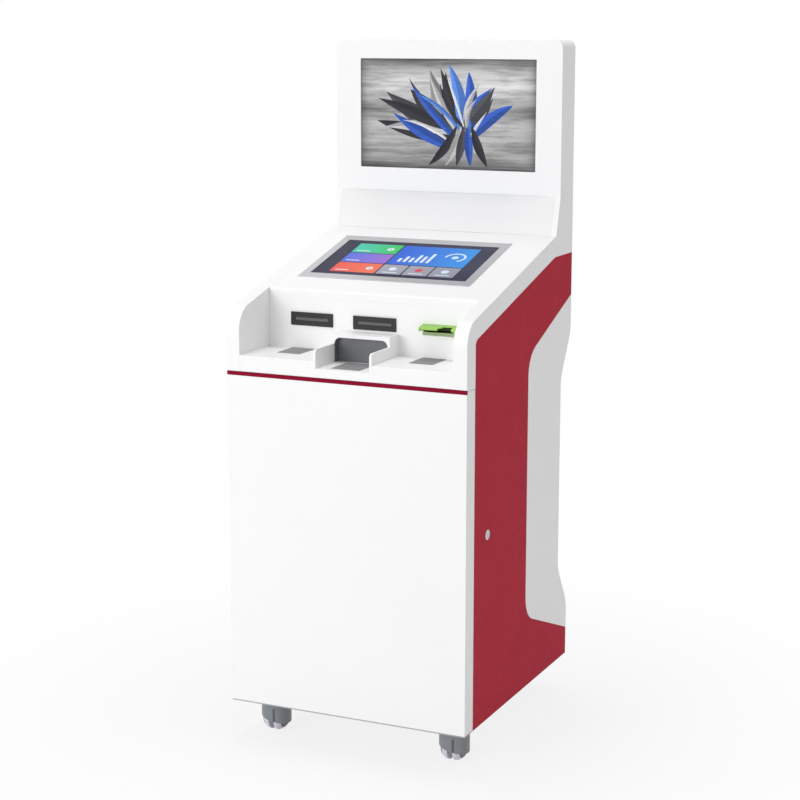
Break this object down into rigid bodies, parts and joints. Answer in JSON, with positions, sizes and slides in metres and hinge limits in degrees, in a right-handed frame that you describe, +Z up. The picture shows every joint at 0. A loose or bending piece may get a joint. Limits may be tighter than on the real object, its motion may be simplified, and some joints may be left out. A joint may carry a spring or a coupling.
{
  "type": "self-service kiosk",
  "caption": "White floor-standing self-service kiosk on casters with a sloped touch console, receipt slots, card mouth, scanner bay and a display head.",
  "frame": {"origin": "on the ground under the middle of the kiosk's footprint", "axes": "+X to the kiosk's right as seen from the front, +Y to its back, +Z up"},
  "size_m": [0.61, 0.67, 1.665],
  "materials": {
    "white_paint": "satin powder coat",
    "red_inlay": "satin red film and paint",
    "inner_steel": "plain zinc-plated steel",
    "screen_glass": "dark screen glass",
    "housing_grey": "equipment housing",
    "silver_frame": "satin silver",
    "black_plastic": "fine-textured black",
    "flap_grey": "dark grey",
    "green_plastic": "bright green",
    "dark_window": "smoked window",
    "pad_grey": "fine felt-like pad",
    "white_plastic": "smooth white",
    "roll_paper": "thermal paper",
    "caster_grey": "dark grey",
    "wheel_plastic": "pale grey tread"
  },
  "bodies": {
    "cabinet": {"base_tray": "inner_steel", "side_panel_left": "white_paint", "side_panel_right": "white_paint", "side_inlay_left": "red_inlay", "side_inlay_right": "red_inlay", "rear_cover": "white_paint", "rear_upper_cover": "white_paint", "console_shelf": "white_paint", "bay_back": "white_paint", "console_top": "white_paint", "bay_liner_left": "white_paint", "bay_liner_right": "white_paint", "riser": "white_paint", "head_shell": "white_paint", "head_back": "white_paint", "upper_glass": "screen_glass", "upper_display": "housing_grey", "touch_frame": "silver_frame", "touch_glass": "screen_glass", "touch_module": "housing_grey", "slot_bezel_left": "black_plastic", "slot_bezel_right": "black_plastic", "printer_left": "housing_grey", "printer_right": "housing_grey", "card_bezel": "green_plastic", "card_reader": "housing_grey", "scanner_hood": "white_plastic", "scanner_window": "dark_window", "scanner_engine": "housing_grey", "shelf_pads": "pad_grey", "computer": "housing_grey", "power_supply": "housing_grey", "fan_frame": "black_plastic", "power_inlet": "black_plastic", "lock_barrel": "inner_steel", "hinge_brackets": "inner_steel", "caster_plates": "inner_steel", "caster_bolts": "inner_steel", "cover_screws": "inner_steel"},
    "door": {"door_shell": "white_paint", "door_trim": "red_inlay", "door_keeper": "inner_steel"},
    "flap_left": {"slot_flap_left": "flap_grey"},
    "flap_right": {"slot_flap_right": "flap_grey"},
    "roll_left": {"paper_roll_left": "roll_paper"},
    "roll_right": {"paper_roll_right": "roll_paper"},
    "fan": {"fan_rotor": "black_plastic"},
    "rocker": {"rocker": "black_plastic"},
    "lock": {"lock_cam": "inner_steel"},
    "caster_fl": {"caster_hood_fl": "caster_grey"},
    "wheels_fl": {"caster_wheels_fl": "wheel_plastic"},
    "caster_fr": {"caster_hood_fr": "caster_grey"},
    "wheels_fr": {"caster_wheels_fr": "wheel_plastic"},
    "caster_rl": {"caster_hood_rl": "caster_grey"},
    "wheels_rl": {"caster_wheels_rl": "wheel_plastic"},
    "caster_rr": {"caster_hood_rr": "caster_grey"},
    "wheels_rr": {"caster_wheels_rr": "wheel_plastic"}
  },
  "joints": [
    {"name": "door_hinge", "type": "hinge", "parent": "cabinet", "child": "door", "pos_m": [-0.299, -0.296, 0.5], "axis": [0, 0, -1], "range_deg": [0, 95]},
    {"name": "flap_left_hinge", "type": "hinge", "parent": "cabinet", "child": "flap_left", "pos_m": [-0.1556, -0.1894, 1.01985], "axis": [-1, 0, 0], "range_deg": [0, 70]},
    {"name": "flap_right_hinge", "type": "hinge", "parent": "cabinet", "child": "flap_right", "pos_m": [0.0088, -0.1894, 1.01985], "axis": [-1, 0, 0], "range_deg": [0, 70]},
    {"name": "roll_left_spin", "type": "hinge", "parent": "cabinet", "child": "roll_left", "pos_m": [-0.1556, -0.0514, 1.01685], "axis": [1, 0, 0], "continuous": true},
    {"name": "roll_right_spin", "type": "hinge", "parent": "cabinet", "child": "roll_right", "pos_m": [0.0088, -0.0514, 1.01685], "axis": [1, 0, 0], "continuous": true},
    {"name": "fan_spin", "type": "hinge", "parent": "cabinet", "child": "fan", "pos_m": [-0.12, 0.25, 0.65], "axis": [0, 1, 0], "continuous": true},
    {"name": "rocker_tilt", "type": "hinge", "parent": "cabinet", "child": "rocker", "pos_m": [0.2, 0.33, 0.172], "axis": [1, 0, 0], "range_deg": [0, 16]},
    {"name": "lock_turn", "type": "hinge", "parent": "cabinet", "child": "lock", "pos_m": [0.29, -0.207, 0.5466], "axis": [-1, 0, 0], "range_deg": [0, 90]},
    {"name": "swivel_fl", "type": "hinge", "parent": "cabinet", "child": "caster_fl", "pos_m": [-0.238, -0.255, 0.085], "axis": [0, 0, 1], "continuous": true},
    {"name": "spin_fl", "type": "hinge", "parent": "caster_fl", "child": "wheels_fl", "pos_m": [-0.238, -0.237, 0.031], "axis": [1, 0, 0], "continuous": true},
    {"name": "swivel_fr", "type": "hinge", "parent": "cabinet", "child": "caster_fr", "pos_m": [0.238, -0.255, 0.085], "axis": [0, 0, 1], "continuous": true},
    {"name": "spin_fr", "type": "hinge", "parent": "caster_fr", "child": "wheels_fr", "pos_m": [0.238, -0.237, 0.031], "axis": [1, 0, 0], "continuous": true},
    {"name": "swivel_rl", "type": "hinge", "parent": "cabinet", "child": "caster_rl", "pos_m": [-0.178, 0.255, 0.085], "axis": [0, 0, 1], "continuous": true},
    {"name": "spin_rl", "type": "hinge", "parent": "caster_rl", "child": "wheels_rl", "pos_m": [-0.178, 0.273, 0.031], "axis": [1, 0, 0], "continuous": true},
    {"name": "swivel_rr", "type": "hinge", "parent": "cabinet", "child": "caster_rr", "pos_m": [0.178, 0.255, 0.085], "axis": [0, 0, 1], "continuous": true},
    {"name": "spin_rr", "type": "hinge", "parent": "caster_rr", "child": "wheels_rr", "pos_m": [0.178, 0.273, 0.031], "axis": [1, 0, 0], "continuous": true}
  ]
}
